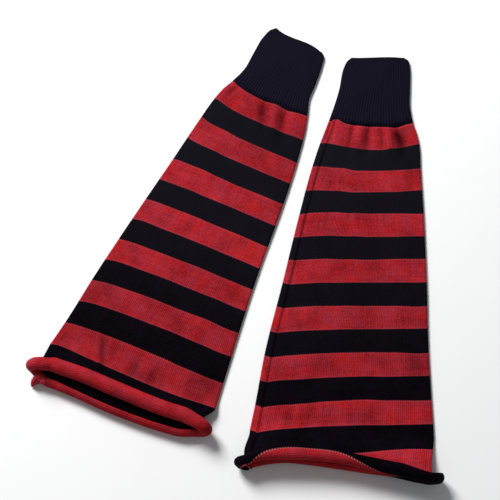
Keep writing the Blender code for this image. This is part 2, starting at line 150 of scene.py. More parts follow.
RIGHT = Warmer(
    name="right", x=160.27, y=216.29, lean=1.5,
    sections=(
        Section(0.0, -30.7, 0.8, 1.3, 28.4, 2.4),
        Section(4.0, -35.2, 4.4, 4.9, 33.0, 5.3),
        Section(10.0, -38.3, 10.0, 10.3, 33.9, 10.2),
        Section(38.0, -45.3, 37.0, 38.0, 32.8, 38.0),
        Section(61.0, -52.2, 58.0, 61.0, 31.3, 59.0),
        Section(80.0, -58.5, 74.0, 80.0, 33.6, 76.5),
        Section(93.0, -63.8, 87.0, 93.0, 36.9, 89.0),
        Section(105.0, -68.8, 99.0, 105.5, 38.8, 101.5),
        Section(130.0, -78.4, 125.5, 130.5, 38.7, 128.0),
        Section(180.0, -94.3, 178.5, 180.0, 38.7, 180.0),
        Section(255.0, -114.8, 253.0, 255.0, 37.2, 255.0),
        Section(330.0, -136.3, 329.5, 330.0, 34.5, 330.0),
        Section(380.0, -147.2, 380.0, 380.0, 34.2, 380.0),
        Section(405.0, -153.3, 405.5, 405.5, 34.3, 405.5),
    ),
    hem=(
        Hem(-1.0, 439.0, 447.0, 5.7, 441.5, 447.0, 5.7),
        Hem(-0.85, 434.5, 438.0, 6.4, 438.0, 440.0, 6.4),
        Hem(-0.6, 433.5, 431.5, 6.7, 435.5, 432.0, 6.7),
        Hem(-0.3, 435.0, 431.5, 6.7, 438.5, 431.0, 6.7),
        Hem(0.0, 438.5, 432.5, 6.7, 443.0, 431.5, 6.7),
        Hem(0.3, 444.8, 439.0, 6.9, 448.0, 438.0, 6.7),
        Hem(0.6, 451.3, 448.0, 7.2, 452.4, 448.0, 6.8),
        Hem(0.85, 457.0, 454.5, 7.4, 458.0, 454.0, 7.0),
        Hem(1.0, 461.0, 457.0, 6.8, 461.0, 457.0, 6.8),
    ),
    left_tip=-160.0, right_tip=27.8, left_draw=(0.0, 0.75), right_draw=(0.2, 0.95), slip=0.0,
    creases=(
        Crease(-0.97, 70.0, 88.0, 118.0, 1.0, 0.05),
        Crease(-0.68, 70.0, 88.0, 126.0, -1.3, 0.14),
        Crease(-0.43, 70.0, 88.0, 122.0, 1.2, 0.07),
        Crease(-0.27, 70.0, 90.0, 130.0, -1.4, 0.08),
        Crease(-0.05, 68.0, 89.0, 124.0, 2.3, 0.09),
        Crease(0.14, 72.0, 92.0, 124.0, -0.7, 0.08),
        Crease(0.25, 72.0, 92.0, 124.0, 0.4, 0.04),
        Crease(0.42, 68.0, 90.0, 124.0, -2.2, 0.09),
        Crease(0.70, 66.0, 88.0, 128.0, 2.7, 0.11, 0.1),
        Crease(-0.60, 120.0, 200.0, 320.0, -0.9, 0.20),
        Crease(-0.59, 372.0, 393.0, 416.0, 0.9, 0.06),
        Crease(-0.36, 374.0, 393.0, 416.0, 0.9, 0.05),
        Crease(0.84, 262.0, 300.0, 376.0, 0.8, 0.10),
    ),
    # Painted shade: darker in folds and creases, and broadly where the light falls off
    shades=(
        Crease(-0.97, 76.0, 86.0, 116.0, 0.50, 0.04),
        Crease(-0.48, 78.0, 86.0, 112.0, 0.28, 0.06),
        Crease(-0.11, 76.0, 86.0, 118.0, 0.48, 0.09),
        Crease(0.24, 80.0, 90.0, 112.0, 0.18, 0.04),
        Crease(0.60, 74.0, 91.0, 128.0, 0.86, 0.12, 0.14),
        Crease(0.78, 76.0, 86.0, 114.0, 0.26, 0.08),
        Crease(0.80, 112.0, 140.0, 172.0, 0.22, 0.10),
        Crease(0.15, 110.0, 240.0, 380.0, 0.12, 0.40),
        Crease(-0.38, 182.0, 194.0, 206.0, 0.10, 0.08),
        Crease(-0.30, 226.0, 243.0, 262.0, 0.12, 0.10),
        Crease(0.15, 276.0, 292.0, 312.0, 0.10, 0.07),
        Crease(0.80, 262.0, 296.0, 330.0, 0.20, 0.14),
        Crease(0.86, 318.0, 345.0, 376.0, 0.28, 0.12),
        Crease(-0.64, 374.0, 393.0, 410.0, 0.20, 0.08),
        Crease(-0.40, 376.0, 393.0, 410.0, 0.18, 0.07),
        Crease(0.0, 178.0, 193.0, 208.0, -0.16, 1.2),
        Crease(0.0, 326.0, 343.0, 360.0, 0.13, 1.4),
    ),
    rows=(
        Row(60.0, 0.0, 0.0, 0.0, 0.0, 0.0, 0.0),
        Row(80.0, -0.6, 0.3, 1.9, 3.0, 4.8, 3.0),
        Row(105.0, -1.8, 0.0, 2.6, 4.3, 3.2, 2.0),
        Row(130.0, -2.2, -1.3, 2.3, 2.9, 3.1, 3.3),
        Row(155.0, -1.8, -1.0, 1.3, 1.8, 2.1, 1.6),
        Row(180.0, -2.4, -1.9, -0.3, 0.8, 1.4, 2.3),
        Row(205.0, -1.8, -1.5, 0.0, 1.6, 2.0, 1.8),
        Row(230.0, -1.0, -1.0, 0.4, 1.8, 1.8, 2.0),
        Row(255.0, 0.0, -0.3, 0.4, 1.3, 1.9, 2.5),
        Row(280.0, -0.2, -0.3, 0.5, 1.6, 2.2, 3.4),
        Row(305.0, 0.0, 0.0, 0.3, 0.9, 1.6, 1.9),
        Row(330.0, 0.0, 0.1, 0.1, 0.5, 1.5, 3.2),
        Row(355.0, -0.4, 0.6, 0.5, 0.6, 1.7, 1.7),
        Row(380.0, 0.4, 1.2, 0.1, -0.3, 1.3, 2.2),
        Row(405.0, 0.5, 0.6, 0.1, -0.1, 0.6, 0.8),
        Row(430.0, 0.0, 0.3, -0.5, -0.5, 0.0, 0.3),
    ),
    pulls=(
        Pull(-0.85, 80.0, -3.6, 0.13, 12.0), Pull(-0.99, 80.0, 3.0, 0.05, 14.0),
    ),
    seam=7.0,
    dips=(Dip(80.0, 0.0), Dip(130.0, 1.2), Dip(200.0, 2.2), Dip(280.0, 3.0), Dip(400.0, 5.0),
          Dip(480.0, 5.0)),
    covered=-0.5, roll_stretch=1.0,
    gather=(
        Knot(-166.5, 440.0, 8.0, 3.4), Knot(-164.0, 442.6, 8.0, 4.6), Knot(-161.2, 444.2, 7.4, 4.0),
        Knot(-159.0, 445.2, 6.6, 4.4), Knot(-157.4, 445.8, 5.4, 3.4), Knot(-156.2, 446.4, 4.2, 2.6),
        Knot(-155.4, 447.0, 2.6, 1.4),
    ),
    threads=(
        (Knot(-157.0, 443.4, 12.0, 0.9), Knot(-155.4, 445.0, 11.8, 1.5), Knot(-153.9, 446.4, 10.8, 1.4),
         Knot(-152.4, 447.6, 9.4, 0.7)),
        (Knot(-162.4, 446.6, 20.4, 0.5), Knot(-160.6, 445.0, 22.0, 0.7), Knot(-158.8, 444.2, 22.8, 0.6),
         Knot(-157.2, 444.4, 22.6, 0.4)),
    ),
)

LEFT = Warmer(
    name="left", x=73.47, y=235.29, lean=-22.0,
    sections=(
        Section(0.0, -31.5, -4.0, 0.0, 27.8, 4.0),
        Section(4.0, -36.0, 0.0, 4.0, 31.4, 7.0),
        Section(10.0, -38.7, 6.4, 10.1, 32.6, 13.3),
        Section(38.0, -42.9, 33.0, 38.0, 34.5, 40.0),
        Section(61.0, -45.0, 54.0, 60.5, 34.9, 61.5),
        Section(80.0, -51.8, 72.0, 80.0, 39.9, 79.0),
        Section(93.0, -58.3, 85.0, 93.0, 43.3, 92.5),
        Section(105.0, -62.3, 98.0, 105.5, 45.5, 105.5),
        Section(130.0, -67.6, 124.0, 131.0, 48.8, 132.5),
        Section(180.0, -77.3, 180.0, 181.5, 52.6, 182.0),
        Section(255.0, -91.4, 258.5, 256.5, 55.7, 257.5),
        Section(330.0, -104.2, 336.0, 331.0, 61.2, 330.0),
        Section(380.0, -111.4, 388.0, 385.5, 66.2, 384.0),
        Section(405.0, -116.3, 415.0, 415.5, 69.0, 414.0),
    ),
    hem=(
        Hem(-1.0, 438.8, 431.0, 7.2, 447.1, 432.0, 6.8),
        Hem(-0.9, 435.4, 428.5, 7.6, 450.4, 431.0, 6.8),
        Hem(-0.75, 434.6, 428.0, 7.9, 450.6, 431.0, 6.7),
        Hem(-0.5, 433.3, 425.0, 8.0, 450.5, 430.0, 6.7),
        Hem(-0.1, 433.8, 424.5, 8.1, 451.8, 430.0, 6.7),
        Hem(0.3, 434.1, 424.5, 8.1, 451.2, 430.0, 6.7),
        Hem(0.6, 433.6, 424.5, 8.0, 449.5, 430.0, 6.7),
        Hem(0.85, 432.2, 427.0, 7.9, 446.2, 430.0, 6.8),
        Hem(1.0, 434.0, 430.0, 7.0, 440.6, 430.0, 7.0),
    ),
    left_tip=-115.8, right_tip=62.4, left_draw=(0.0, 0.55), right_draw=(0.0, 0.55), slip=7.0,
    creases=(
        Crease(-0.86, 72.0, 88.0, 108.0, 1.0, 0.07),
        Crease(-0.50, 70.0, 92.0, 126.0, -0.9, 0.18),
        Crease(0.02, 70.0, 90.0, 124.0, 2.0, 0.10, 0.45),
        Crease(0.29, 70.0, 92.0, 128.0, -2.2, 0.09, 0.3),
        Crease(0.57, 68.0, 92.0, 130.0, 2.2, 0.13, 0.2),
        Crease(0.84, 266.0, 296.0, 326.0, 0.8, 0.11),
        Crease(-0.465, 370.0, 398.0, 422.0, -1.8, 0.036, 0.36),
        Crease(-0.41, 370.0, 398.0, 422.0, 1.4, 0.034, 0.36),
        Crease(0.0, 380.0, 398.0, 414.0, 1.3, 0.06),
        Crease(0.23, 382.0, 399.0, 414.0, 1.2, 0.05),
    ),
    # Painted shade: darker in folds and creases, and broadly where the light falls off
    shades=(
        Crease(-0.86, 76.0, 88.0, 104.0, 0.40, 0.08),
        Crease(-0.05, 76.0, 90.0, 120.0, 0.42, 0.11, 0.45),
        Crease(0.45, 74.0, 90.0, 122.0, 0.50, 0.10, 0.2),
        Crease(-0.40, 372.0, 398.0, 422.0, 0.26, 0.036, 0.34),
        Crease(0.0, 386.0, 398.0, 410.0, 0.26, 0.08, 0.1),
        Crease(0.22, 388.0, 400.0, 412.0, 0.28, 0.08, 0.1),
        Crease(0.82, 270.0, 293.0, 318.0, 0.26, 0.14),
        Crease(0.84, 366.0, 392.0, 420.0, 0.20, 0.14),
        Crease(0.18, 320.0, 342.0, 364.0, 0.16, 0.12),
        Crease(-0.85, 260.0, 330.0, 420.0, 0.16, 0.20),
        Crease(0.05, 126.0, 143.0, 160.0, 0.12, 0.14, 0.1),
        Crease(0.45, 126.0, 143.0, 160.0, 0.12, 0.08, 0.1),
        Crease(0.1, 50.0, 120.0, 190.0, 0.15, 1.6),
        Crease(0.0, 230.0, 430.0, 480.0, 0.16, 2.5),
    ),
    rows=(
        Row(60.0, 0.0, 0.0, 0.0, 0.0, 0.0, 0.0),
        Row(80.0, 0.2, 0.4, 1.3, 0.8, 2.2, 1.2),
        Row(105.0, -0.6, 0.5, 1.0, 1.9, 2.6, 1.9),
        Row(130.0, 0.4, -0.8, 1.3, 2.2, 2.7, 2.0),
        Row(155.0, 0.1, -0.5, 0.8, 1.6, 2.2, 1.5),
        Row(180.0, -1.1, -1.3, 0.0, 1.1, 1.4, 1.7),
        Row(205.0, -0.2, -0.5, 0.4, 0.9, 1.5, 1.8),
        Row(230.0, -0.3, 0.1, 0.2, 1.1, 1.4, 1.6),
        Row(255.0, -1.2, 0.4, 0.5, 0.8, 1.3, 1.2),
        Row(280.0, 0.0, 1.1, 1.2, 0.8, 1.5, 1.4),
        Row(305.0, -0.3, 0.9, 0.7, 1.0, 1.1, 1.8),
        Row(330.0, -0.1, 0.6, 0.2, 0.4, -0.1, 1.6),
        Row(355.0, -1.0, -0.7, -0.7, -1.2, -0.4, 0.9),
        Row(380.0, -0.5, -0.6, -0.7, -0.3, 1.1, 2.2),
        Row(405.0, -2.3, -0.9, 0.0, 0.8, 0.6, -0.4),
        Row(430.0, 0.0, 0.0, 0.0, 0.0, 0.0, 0.0),
    ),
    pulls=(),
    seam=-4.0, dips=(Dip(80.0, 0.0), Dip(480.0, 0.0)), covered=-2.0, roll_stretch=1.35,
    gather=(
        Knot(-97.5, 450.4, 7.0, 4.0), Knot(-101.5, 451.5, 7.5, 5.2), Knot(-105.0, 452.6, 8.8, 6.0),
        Knot(-108.3, 452.0, 10.2, 5.2), Knot(-110.8, 452.2, 10.8, 5.6), Knot(-112.6, 454.8, 8.2, 5.6),
        Knot(-114.2, 457.6, 5.6, 4.5), Knot(-115.3, 460.6, 3.4, 2.9), Knot(-115.8, 463.6, 1.4, 1.1),
    ),
    threads=(),
)

# Camera, in metres and degrees; its sensor and lens are in millimetres
AIM = (0.01777, -0.00431, 0.0)
CAMERA_DISTANCE = 1.294
CAMERA_ELEVATION = 75.0
SENSOR = 36.0
LENS = 87.55

# Light and table, in metres and watts
WINDOW_PLACE = (-1.00, 1.42, 1.62)
WINDOW_SIZE = 0.9
WINDOW_WATTS = 80.0
SURROUND = (0.95, 0.97, 1.0)
SURROUND_STRENGTH = 0.22
TABLE_HALF = 3.0
TABLE_SHADES = ((0.90, 0.90, 0.90), (0.93, 0.93, 0.93))
TABLE_MOTTLE = 8.0
TABLE_ROUGHNESS = 0.7
TABLE_SPECULAR = 0.2

# Yarn colours
# Deep colours take painted shade between loops, and BLACK_DEEP also painted shade in folds and creases
RED_LIGHT = (0.43, 0.034, 0.056)
RED_WARM = (0.57, 0.021, 0.024)
RED_DEEP = (0.16, 0.0045, 0.0075)
RED_PINK = (0.50, 0.090, 0.130)
BLACK_LIGHT = (0.0040, 0.0040, 0.0062)
BLACK_PLUM = (0.0062, 0.0018, 0.0062)
BLACK_DEEP = (0.0004, 0.0003, 0.0006)
# Colours of painted sheen on black yarn, on the leg and on the cuff's ribs
BLACK_SHEEN = (0.0098, 0.0094, 0.0140)
RIB_SHEEN = (0.0082, 0.0072, 0.0160)
# Red of the gathered seam end, lightened as painted light where it lies in the front roll's shadow
RED_END_PAINTED_LIGHT = (0.50, 0.042, 0.060)
THREAD_PINK = (0.30, 0.085, 0.095)
DASH_PINK = (0.42, 0.125, 0.13)

# Yarn surface
YARN_ROUGHNESS = 0.6
YARN_SPECULAR = 0.01
STITCH_BUMP = 0.25          # millimetres from between the loops to their crests
SEAM_BUMP = 0.4             # the same for the fluff of seaming yarn

# Unevenness of the yarn: how fine it is, in noise scale, and how much it lightens or darkens
FLUFF_SCALE, FLUFF_SHARE = 560.0, 1.1
DYE_SCALE, DYE_SHARE = 52.0, 0.95
FINE_DETAIL = 3.0
STREAK = (0.45, 0.035)      # noise steps a column and a millimetre, for streaks down the leg
BAND = (0.03, 0.55)         # and for bands across it
MIDDLE_LIGHT = 0.52         # lightness of yarn without any of them
BLACK_TINT = (150.0, 3.0)   # noise scale and contrast between two dyes of one yarn
RED_TINT = (75.0, 2.4)
SEAM_TINT = (420.0, 2.4)
SHEEN_FALL = (-0.0031, 1.2)       # how strongly painted sheen greys black yarn: less for each millimetre, from the cuff's edge
SHEEN_SHARE = 0.75           # how much of the painted sheen's colour shows where it is strongest

# Stitches: how many rows the two arms of a stitch lean, what crests and loops add to its lightness,
# how strongly its shape shows as painted shade between loops, and how strongly streaks and bands do
Stitch = namedtuple("Stitch", "lean crest loop relief streaks")
KNIT = Stitch(1.2, 0.55, 0.45, 0.75, 0.42)
PURL = Stitch(0.0, 0.5, 0.5, 0.35, 0.25)
RIBBED = Stitch(1.6, 0.5, 0.3, 0.25, 0.3)
PURL_SHADE = 0.85           # lightness of the wrong side, as a share of the right side's
EDGE_ROWS = 0.7             # rows at each end of a red band, lightened towards pink
EDGE_SHARE = 0.16           # how far they are lightened
DASH_ROWS = 0.6             # half height of the dashes on the wrong side, in rows
DASH_PACE = 0.8             # dashes for each column
DASH_LENGTH = 0.42          # share of its pace that a dash fills
DASH_SHARE = 0.75           # how much of a dash's colour shows


def ease(share):
    """Smooth step from 0 to 1."""
    share = np.clip(share, 0.0, 1.0)
    return share * share * (3.0 - 2.0 * share)


def ease_between(share, start, end):
    """Smooth step from 0 at start to 1 at end."""
    return ease((share - start) / (end - start))


def fading(across, power=4):
    """From 1 in the middle to 0 at both ends, -1 and 1; a higher power falls off later."""
    return 1 - across ** power


def curve(rows, key, value, at):
    """Read a smooth curve through one column of a table at the given values of another."""
    knots = np.array([getattr(row, key) for row in rows])
    values = np.array([getattr(row, value) for row in rows])
    slopes = np.gradient(values, knots)
    at = np.clip(at, knots[0], knots[-1])
    index = np.clip(np.searchsorted(knots, at) - 1, 0, len(knots) - 2)
    span = knots[index + 1] - knots[index]
    part = (at - knots[index]) / span
    rise = values[index + 1] - values[index]
    bend_in = slopes[index] * span - rise
    bend_out = rise - slopes[index + 1] * span
    return values[index] + part * rise + part * (1 - part) * (bend_in * (1 - part) + bend_out * part)


def edges(warmer, cloth, share):
    """The leg's left and right outline on rows of stitches, drawn to its tips at the curl."""
    rows = warmer.sections
    left, right = curve(rows, "cloth", "left", cloth), curve(rows, "cloth", "right", cloth)
    left = left + (warmer.left_tip - left) * ease_between(share, *warmer.left_draw)
    right = right + (warmer.right_tip - right) * ease_between(share, *warmer.right_draw)
    return left, right


def seam_dip(warmer, cloth, away):
    """Distance by which rows dip where they meet the seam, sharply at its line."""
    reach = np.where(away < 0, SEAM_SIDE_REACH, SEAM_REACH)
    return curve(warmer.dips, "cloth", "distance", cloth) * np.exp(-np.abs(away) / reach)


def plan(warmer, cloth, share, across, layer):
    """Where a stitch lies across and down the leg; share runs from the last section to the curl."""
    rows, hem = warmer.sections, warmer.hem
    left, right = edges(warmer, cloth, share)
    x = (left + right) / 2 + across * ((right - left) / 2 - FOLD_REACH)
    middle_at = curve(rows, "cloth", "middle_at", cloth)
    side_at = np.where(across < 0, curve(rows, "cloth", "left_at", cloth),
                       curve(rows, "cloth", "right_at", cloth))
    along = middle_at + (side_at - middle_at) * np.abs(across) ** SWEEP_POWER
    if warmer.seam > 0 and layer == "front":
        along = along + seam_dip(warmer, cloth, x - left - warmer.seam)
    if layer == "back":
        along = along + warmer.slip * cloth / LAST_SECTION * fading(across)
    else:
        along = along + drawn(warmer, cloth, across)
    hem_at = curve(hem, "across", layer + "_at", across)
    return x, along + (hem_at - along) * share


def climb(warmer, across, along, layer):
    """Height gained by a layer as it climbs onto the rolled hem."""
    hem = warmer.hem
    back_at = curve(hem, "across", "back_at", across)
    end_at = curve(hem, "across", layer + "_at", across)
    lift = 2 * curve(hem, "across", "back_radius", across) - ROLL_PITCH / 2 + ROLL_CLEARANCE
    start = back_at - RISE_LENGTH
    reached = lift * ease((end_at - start) / RISE_LENGTH)
    return reached * ease((along - start) / (end_at - start))


def creasing(creases, cloth, across):
    """Depth of soft troughs and ridges, or how much painted shade darkens the yarn, from a table of
    them.
    """
    depth = 0.0
    for crease in creases:
        fade = ease_between(cloth, crease.start, crease.deepest)
        fade = fade * (1 - ease_between(cloth, crease.deepest, crease.end))
        drift = crease.drift * (cloth - crease.deepest) / (crease.end - crease.start)
        centre = crease.across + drift
        depth = depth + crease.depth * fade * np.exp(-((across - centre) / crease.half_width) ** 2)
    return depth


def rolling(cloth, across):
    """Gentle unevenness of cloth that lies loose on a table."""
    height = 0.0
    for wave in WAVES:
        phase = wave.start + across * wave.across + cloth / wave.length * 2 * math.pi
        height = height + wave.height * np.sin(phase)
    return height * fading(across)


def drawn(warmer, cloth, across):
    """Distance by which rows of stitches lie further down the leg than their section's curve."""
    places = [curve(warmer.rows, "cloth", key, cloth) for key in Row._fields[1:]]
    distance = places[0]
    for number, (start, end) in enumerate(zip(ROW_PLACES[:-1], ROW_PLACES[1:])):
        rise = places[number + 1] - places[number]
        distance = distance + rise * ease_between(across, start, end)
    distance = distance * ease_between(cloth, warmer.rows[0].cloth, CUFF_LENGTH)
    for pull in warmer.pulls:
        beside, beyond = (across - pull.across) / pull.half_width, (cloth - pull.cloth) / pull.reach
        distance = distance + pull.distance * np.exp(-beside ** 2 - beyond ** 2)
    return distance * np.where(across < 0, fading(across, PULL_FADE_POWER), 1.0)


def cloth_reached(warmer, cloth, share, across, layer):
    """Length along the cloth; below the last section its rows share out the way to the curl."""
    return cloth + share * (curve(warmer.hem, "across", layer + "_cloth", across) - cloth)


def layer_grid(warmer, cloth, share, across, layer):
    """Middle surface of one layer, on rows of stitches by places across."""
    x, along = plan(warmer, cloth, share, across, layer)
    z = WALL / 2 + climb(warmer, across, along, layer)
    if layer == "front":
        loft = curve(LOFTS, "cloth", "height", cloth + share * (CLOTH_LENGTH - cloth))
        lift = 2 * FOLD_RADIUS + loft * fading(across)
        reached = cloth_reached(warmer, cloth, share, across, layer)
        lift = lift + rolling(cloth, across) - creasing(warmer.creases, reached, across)
        least = WALL + LAYER_GAP
        z = z + least + LAYER_EASE * np.logaddexp(0.0, (lift - least) / LAYER_EASE)
    return np.stack([x, -along, z], axis=2)


def fold_grid(side, upper, lower, count):
    """The round edge where the front turns into the back, between their last columns."""
    angles = np.linspace(math.pi / 2, -math.pi / 2, count + 2)[1:-1]
    bulge = np.stack([side * FOLD_RADIUS * np.cos(angles), 0 * angles, 0 * angles], axis=1)
    part = np.stack([np.sin(angles), angles / (math.pi / 2), np.sin(angles)], axis=1)
    middle, half = (upper + lower) / 2, (upper - lower) / 2
    return middle[:, None] + bulge[None] + part[None] * half[:, None]


def points_round(warmer, cloth, share, across, fold):
    """The wall's middle surface all the way round: front, right fold, back, left fold."""
    front = layer_grid(warmer, cloth, share, across, "front")
    back = layer_grid(warmer, cloth, share, across, "back")[:, ::-1]
    right = fold_grid(1, front[:, -1], back[:, 0], fold)
    left = fold_grid(-1, front[:, 0], back[:, -1], fold)[:, ::-1]
    return np.concatenate([front, right, back, left], axis=1)


def length_round(warmer, cloth, share, across, step):
    """Length along the cloth all the way round, shared out over the folds by step."""
    front = cloth_reached(warmer, cloth, share, across, "front")
    back = cloth_reached(warmer, cloth, share, across, "back")[:, ::-1]
    right = front[:, -1:] * (1 - step) + back[:, :1] * step
    left = back[:, -1:] * (1 - step) + front[:, :1] * step
    return np.concatenate([front, right, back, left], axis=1)


def ways_out(points):
    """The way out of the wall at each point."""
    sideways = np.roll(points, -1, axis=1) - np.roll(points, 1, axis=1)
    out = np.cross(np.gradient(points, axis=0), sideways)
    return out / np.linalg.norm(out, axis=2)[:, :, None]


# A tube's points, row by row and all the way round. Each has the way out of the wall, its length
# along the cloth, its column of stitches, its place across the leg, and how far it has gone round
# to the underside
Tube = namedtuple("Tube", "points out cloth wale across under")


def tube_grid(warmer, cloth, share, columns, samples):
    """A tube with a point for each sample of its columns of stitches."""
    cloth, share = cloth[:, None], share[:, None]
    across = np.linspace(-1.0, 1.0, columns * samples + 1)[None]
    fold = FOLD_WALES * samples - 1
    turn = np.arange(1, fold + 1)[None] / samples
    step = turn / FOLD_WALES
    points = points_round(warmer, cloth, share, across, fold)
    length = length_round(warmer, cloth, share, across, step)
    ones = np.ones((len(cloth), 1))
    wale = np.concatenate([
        (across + 1) * columns / 2, columns + turn,
        FOLD_WALES + (1 - across) * columns / 2, FOLD_WALES - turn], axis=1) * ones
    place = np.concatenate([across, 1 + 0 * turn, across[:, ::-1], -1 + 0 * turn], axis=1) * ones
    under = np.concatenate([0 * across, step, 1 + 0 * across, 1 - step], axis=1) * ones
    return Tube(points, ways_out(points), length, wale, place, under)


def seam_line(warmer, tube, cloth, share):
    """How near each point of the tube is to the closed side seam, 1 on its line, and its relief."""
    left, _ = edges(warmer, cloth[:, None], share[:, None])
    away = tube.points[:, :, 0] - left - abs(warmer.seam)
    layer = 1 - tube.under if warmer.seam > 0 else tube.under
    near = np.exp(-((away - SEAM_HALF_WIDTH / 2) / SEAM_HALF_WIDTH) ** 2) * layer
    step = SEAM_STEP * (1 - ease_between(away, *SEAM_STEP_SPAN)) * layer
    step = step * fading(tube.across, SEAM_FADE_POWER) * (warmer.seam > 0)
    return near, step - SEAM_GROOVE * near


def add_piece(name, vertices, faces, finishes, warmer, attributes=(), inside=None):
    """Make a smooth mesh in the row frame; faces from number inside on take the second finish."""
    lean = math.radians(warmer.lean)
    turn = np.array([[math.cos(lean), -math.sin(lean), 0.0],
                     [math.sin(lean), math.cos(lean), 0.0],
                     [0.0, 0.0, 1.0]])
    world = (vertices @ turn.T + np.array([warmer.x, warmer.y, 0.0])) * METRES
    mesh = bpy.data.meshes.new(name)
    mesh.from_pydata(world.tolist(), [], faces)
    for key, values in attributes:
        mesh.attributes.new(key, "FLOAT", "POINT").data.foreach_set("value", values.ravel())
    for finish in finishes:
        mesh.materials.append(finish)
    if inside is not None:
        index = np.zeros(len(faces), dtype=np.int32)
        index[inside:] = 1
        mesh.polygons.foreach_set("material_index", index)
    mesh.shade_smooth()
    mesh.validate()
    piece = bpy.data.objects.new(name, mesh)
    bpy.context.scene.collection.objects.link(piece)
    return piece


def quad_faces(rows, count, first, flip):
    """Quads of a closed ring grid as index rows, looking outward or, flipped, inward."""
    row, i = np.meshgrid(np.arange(rows - 1), np.arange(count), indexing="ij")
    j = (i + 1) % count
    a, b, c, d = row * count + i, row * count + j, (row + 1) * count + j, (row + 1) * count + i
    order = (a, b, c, d) if flip else (d, c, b, a)
    return (np.stack(order, axis=2).reshape(-1, 4) + first).tolist()


def rim_faces(outer, inner, every, flip):
    """Fans between a fine outer ring and an inner ring that has one point for every few."""
    outer, inner = outer.tolist(), inner.tolist()
    faces = []
    count = len(inner)
    for i in range(count):
        near, far = inner[i], inner[(i + 1) % count]
        for k in range(every):
            a = outer[(i * every + k) % len(outer)]
            b = outer[(i * every + k + 1) % len(outer)]
            faces.append((near, b, a) if flip else (a, b, near))
        faces.append((near, far, b) if flip else (b, far, near))
    return faces


def wall_mesh(tube, relief, samples, top_rim):
    """Vertices, faces, attributes and first inside face of a wall.

    It is fine outside and coarse inside, with closed rims.
    """
    outer = tube.points + tube.out * (WALL / 2 + relief)[:, :, None]
    keep = np.unique(np.append(np.arange(0, len(outer), INNER_EVERY), len(outer) - 1))
    inner = (tube.points - tube.out * WALL / 2)[keep][:, ::samples]
    rows, count = outer.shape[:2]
    inner_rows, inner_count = inner.shape[:2]
    vertices = [outer.reshape(-1, 3), inner.reshape(-1, 3)]
    values = {"course": [tube.cloth.ravel(), tube.cloth[keep][:, ::samples].ravel()],
              "wale": [tube.wale.ravel(), tube.wale[keep][:, ::samples].ravel()]}
    first = rows * count
    ring, inner_ring = np.arange(count), first + np.arange(inner_count)
    faces = quad_faces(rows, count, 0, False)
    top = ring
    if top_rim:
        start = first + inner_rows * inner_count
        vertices.append(tube.points[0] + np.array([0.0, RIM_SWELL, 0.0]))
        values["course"].append(tube.cloth[0])
        values["wale"].append(tube.wale[0])
        faces += [(i, (i + 1) % count, start + (i + 1) % count, start + i) for i in range(count)]
        top = start + ring
    faces += rim_faces(top, inner_ring, samples, False)
    bottom, inner_bottom = (rows - 1) * count, (inner_rows - 1) * inner_count
    faces += rim_faces(bottom + ring, inner_bottom + inner_ring, samples, True)
    inside = len(faces)
    faces += quad_faces(inner_rows, inner_count, first, True)
    attributes = [(key, np.concatenate(parts)) for key, parts in values.items()]
    return np.concatenate(vertices), faces, attributes, inside


def raised(tube, profile, depth):
    """Relief of columns or ribs: out of the wall above, and let into it where the cloth rests."""
    height = np.tile(np.array(profile), tube.points.shape[1] // len(profile))[None]
    return depth * (height - tube.under)


def cut_area(warmer, start, end):
    """Area of the cloth between two rows of stitches, all the way round, in square metres."""
    cloth = np.linspace(start, end, CUT_SAMPLES)
    left, right = edges(warmer, cloth, 0.0)
    return float(2 * np.mean(right - left) * (end - start) * METRES ** 2)


def widest(warmer, start, end):
    """Greatest width of the cut, all the way round, in metres."""
    left, right = edges(warmer, np.linspace(start, end, CUT_SAMPLES), 0.0)
    return float(2 * np.max(right - left) * METRES)


def declare(piece, warmer, node, width, area):
    """Attach a piece of cloth to the root and hide the part that it stands for."""
    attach(piece, "root")
    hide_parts(warmer.name + node)


def make_cuff(warmer, finishes):
    """Ribbed cuff with a soft top edge."""
    even_rows = np.arange(CUFF_FIRST_ROW, CUFF_LENGTH, CUFF_STEP)
    cloth = np.concatenate([CUFF_EDGE_ROWS, even_rows])
    cloth[-1] = CUFF_LENGTH
    tube = tube_grid(warmer, cloth, np.zeros_like(cloth), RIBS_ACROSS, len(RIB))
    rising = RIB_TOP_SHARE + (1 - RIB_TOP_SHARE) * ease_between(cloth, *RIB_RISE)
    relief = raised(tube, RIB, RIB_DEPTH * rising[:, None])
    vertices, faces, attributes, inside = wall_mesh(tube, relief, len(RIB), True)
    piece = add_piece(warmer.name + "_ribbed_cuff", vertices, faces, finishes, warmer,
                      attributes, inside)
    declare(piece, warmer, "_cuff", widest(warmer, 0.0, CUFF_LENGTH),
            cut_area(warmer, 0.0, CUFF_LENGTH))


def leg_rows():
    """Length along the cloth and share of the way to the curl, for each row of the leg."""
    cloth = np.arange(CUFF_LENGTH, LAST_SECTION, ROW_STEP)
    cloth = np.append(cloth, np.full(HEM_ROWS, LAST_SECTION))
    share = np.zeros_like(cloth)
    share[-HEM_ROWS:] = np.linspace(0.0, 1.0, HEM_ROWS)
    return cloth, share


